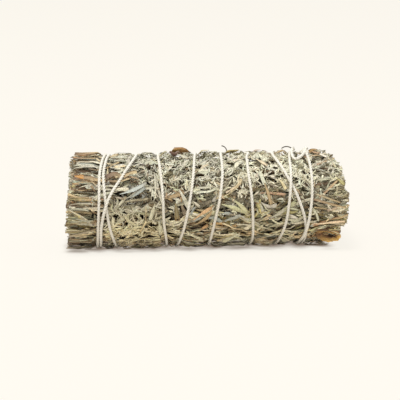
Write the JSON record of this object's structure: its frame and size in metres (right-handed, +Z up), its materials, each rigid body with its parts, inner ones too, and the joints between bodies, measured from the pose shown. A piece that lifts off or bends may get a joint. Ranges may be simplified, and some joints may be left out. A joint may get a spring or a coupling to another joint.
{
  "type": "blue sage smudge stick",
  "caption": "Bundle of dried blue sage sprigs pressed into a round stick and bound end to end with one wound cotton string.",
  "frame": {"origin": "under the middle of the stick, on the surface that it lies on", "axes": "+X along the stick from the cut stems to the leafy tips, +Z up, -Y towards the front"},
  "size_m": [0.104, 0.0375, 0.0361],
  "materials": {
    "sage_leaf": "dry matt grey-green leaf with a fine down",
    "woody_stem": "dry matt bark with pale cut ends",
    "cotton_string": "matt twisted off-white cotton"
  },
  "bodies": {
    "root": {"sprig_01": "sage_leaf", "sprig_02": "sage_leaf", "sprig_03": "sage_leaf", "sprig_04": "sage_leaf", "sprig_05": "sage_leaf", "sprig_06": "sage_leaf", "sprig_07": "sage_leaf", "sprig_08": "sage_leaf", "sprig_09": "sage_leaf", "sprig_10": "sage_leaf", "sprig_11": "sage_leaf", "sprig_12": "sage_leaf", "sprig_13": "sage_leaf", "sprig_14": "sage_leaf", "sprig_15": "sage_leaf", "sprig_16": "sage_leaf", "sprig_17": "sage_leaf", "sprig_18": "sage_leaf", "sprig_19": "sage_leaf", "sprig_20": "sage_leaf", "sprig_21": "sage_leaf", "sprig_22": "sage_leaf", "sprig_23": "sage_leaf", "sprig_24": "sage_leaf", "sprig_25": "sage_leaf", "sprig_26": "sage_leaf", "sprig_27": "sage_leaf", "sprig_28": "sage_leaf", "sprig_29": "sage_leaf", "sprig_30": "sage_leaf", "sprig_31": "sage_leaf", "cotton_string": "cotton_string"}
  },
  "joints": []
}
